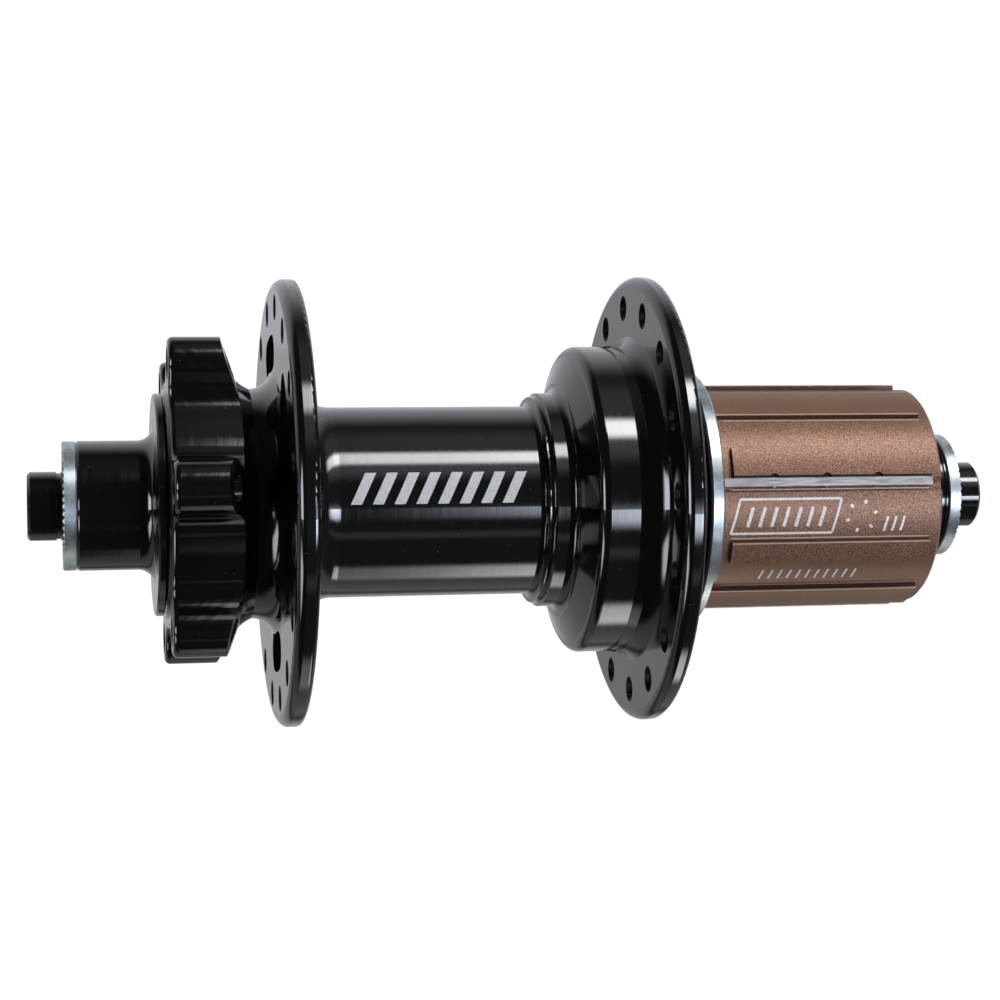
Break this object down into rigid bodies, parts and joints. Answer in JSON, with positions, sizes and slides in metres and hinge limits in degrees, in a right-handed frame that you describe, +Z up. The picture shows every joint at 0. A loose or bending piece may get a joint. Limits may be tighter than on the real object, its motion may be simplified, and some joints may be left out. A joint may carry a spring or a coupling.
{
  "type": "bicycle rear disc hub",
  "caption": "Rear disc-brake bicycle hub with two spoke flanges, a six-bolt rotor mount, a ratchet freehub with cassette splines, and a hollow quick-release axle.",
  "frame": {"origin": "on the wheel axis, midway between the two faces that clamp in the dropouts", "axes": "+Y along the wheel axis towards the drive side, +Z up, +X backwards"},
  "size_m": [0.0672, 0.145, 0.0672],
  "materials": {
    "black_anodised": "gloss black anodised",
    "zinc_plated_steel": "zinc plated",
    "bronze_anodised": "bead-blasted, bronze anodised",
    "stainless_strip": "brushed",
    "plain_aluminium": "turned",
    "hardened_steel": "ground",
    "bearing_steel": "polished",
    "black_rubber": "moulded",
    "seal_rubber": "moulded",
    "cage_nylon": "moulded"
  },
  "bodies": {
    "axle": {"axle_tube": "plain_aluminium", "left_end_cap": "black_anodised", "right_end_cap": "black_anodised", "left_serrated_washer": "zinc_plated_steel", "right_serrated_washer": "zinc_plated_steel", "left_cap_o_ring": "black_rubber", "right_cap_o_ring": "black_rubber", "drive_bearing_spacer": "plain_aluminium", "freehub_bearing_spacer": "plain_aluminium", "freehub_dust_shield": "zinc_plated_steel", "left_bearing_inner_race": "bearing_steel", "drive_bearing_inner_race": "bearing_steel", "freehub_inner_bearing_inner_race": "bearing_steel", "freehub_outer_bearing_inner_race": "bearing_steel"},
    "shell": {"hub_shell": "black_anodised", "ratchet_ring": "hardened_steel", "left_bearing_outer_race": "bearing_steel", "left_bearing_seals": "seal_rubber", "drive_bearing_outer_race": "bearing_steel", "drive_bearing_seals": "seal_rubber"},
    "freehub": {"freehub_body": "bronze_anodised", "guard_strips": "stainless_strip", "strip_pins": "hardened_steel", "dust_ring": "zinc_plated_steel", "freehub_lip_seal": "black_rubber", "freehub_circlip": "hardened_steel", "pawl_springs": "hardened_steel", "freehub_inner_bearing_outer_race": "bearing_steel", "freehub_inner_bearing_seals": "seal_rubber", "freehub_outer_bearing_outer_race": "bearing_steel", "freehub_outer_bearing_seals": "seal_rubber"},
    "pawl_1": {"pawl_1": "hardened_steel"},
    "pawl_2": {"pawl_2": "hardened_steel"},
    "pawl_3": {"pawl_3": "hardened_steel"},
    "pawl_4": {"pawl_4": "hardened_steel"},
    "pawl_5": {"pawl_5": "hardened_steel"},
    "pawl_6": {"pawl_6": "hardened_steel"},
    "left_bearing_ball_set": {"left_bearing_balls": "bearing_steel", "left_bearing_cage": "cage_nylon"},
    "drive_bearing_ball_set": {"drive_bearing_balls": "bearing_steel", "drive_bearing_cage": "cage_nylon"},
    "freehub_inner_bearing_ball_set": {"freehub_inner_bearing_balls": "bearing_steel", "freehub_inner_bearing_cage": "cage_nylon"},
    "freehub_outer_bearing_ball_set": {"freehub_outer_bearing_balls": "bearing_steel", "freehub_outer_bearing_cage": "cage_nylon"}
  },
  "joints": [
    {"name": "shell_spin", "type": "hinge", "parent": "axle", "child": "shell", "pos_m": [0, 0, 0], "axis": [0, 1, 0], "continuous": true},
    {"name": "freehub_spin", "type": "hinge", "parent": "axle", "child": "freehub", "pos_m": [0, 0, 0], "axis": [0, 1, 0], "continuous": true},
    {"name": "pawl_1_pivot", "type": "hinge", "parent": "freehub", "child": "pawl_1", "pos_m": [0.0146, 0.0156, 0], "axis": [0, 1, 0], "range_deg": [-3.5, 10.5], "stiffness_Nm_per_rad": 0.004, "springref_deg": 20.05},
    {"name": "pawl_2_pivot", "type": "hinge", "parent": "freehub", "child": "pawl_2", "pos_m": [0.0073, 0.0156, 0.01264], "axis": [0, 1, 0], "range_deg": [-3.5, 10.5], "stiffness_Nm_per_rad": 0.004, "springref_deg": 20.05},
    {"name": "pawl_3_pivot", "type": "hinge", "parent": "freehub", "child": "pawl_3", "pos_m": [-0.0073, 0.0156, 0.01264], "axis": [0, 1, 0], "range_deg": [-3.5, 10.5], "stiffness_Nm_per_rad": 0.004, "springref_deg": 20.05},
    {"name": "pawl_4_pivot", "type": "hinge", "parent": "freehub", "child": "pawl_4", "pos_m": [-0.0146, 0.0156, 0], "axis": [0, 1, 0], "range_deg": [-3.5, 10.5], "stiffness_Nm_per_rad": 0.004, "springref_deg": 20.05},
    {"name": "pawl_5_pivot", "type": "hinge", "parent": "freehub", "child": "pawl_5", "pos_m": [-0.0073, 0.0156, -0.01264], "axis": [0, 1, 0], "range_deg": [-3.5, 10.5], "stiffness_Nm_per_rad": 0.004, "springref_deg": 20.05},
    {"name": "pawl_6_pivot", "type": "hinge", "parent": "freehub", "child": "pawl_6", "pos_m": [0.0073, 0.0156, -0.01264], "axis": [0, 1, 0], "range_deg": [-3.5, 10.5], "stiffness_Nm_per_rad": 0.004, "springref_deg": 20.05},
    {"name": "left_bearing_balls_orbit", "type": "hinge", "parent": "axle", "child": "left_bearing_ball_set", "pos_m": [0, 0, 0], "axis": [0, 1, 0], "continuous": true},
    {"name": "drive_bearing_balls_orbit", "type": "hinge", "parent": "axle", "child": "drive_bearing_ball_set", "pos_m": [0, 0, 0], "axis": [0, 1, 0], "continuous": true},
    {"name": "freehub_inner_bearing_balls_orbit", "type": "hinge", "parent": "axle", "child": "freehub_inner_bearing_ball_set", "pos_m": [0, 0, 0], "axis": [0, 1, 0], "continuous": true},
    {"name": "freehub_outer_bearing_balls_orbit", "type": "hinge", "parent": "axle", "child": "freehub_outer_bearing_ball_set", "pos_m": [0, 0, 0], "axis": [0, 1, 0], "continuous": true}
  ],
  "couplings": [
    {"joint": "left_bearing_balls_orbit", "follows": "shell_spin", "ratio": 0.5923},
    {"joint": "drive_bearing_balls_orbit", "follows": "shell_spin", "ratio": 0.5923},
    {"joint": "freehub_inner_bearing_balls_orbit", "follows": "freehub_spin", "ratio": 0.5713},
    {"joint": "freehub_outer_bearing_balls_orbit", "follows": "freehub_spin", "ratio": 0.5923}
  ]
}
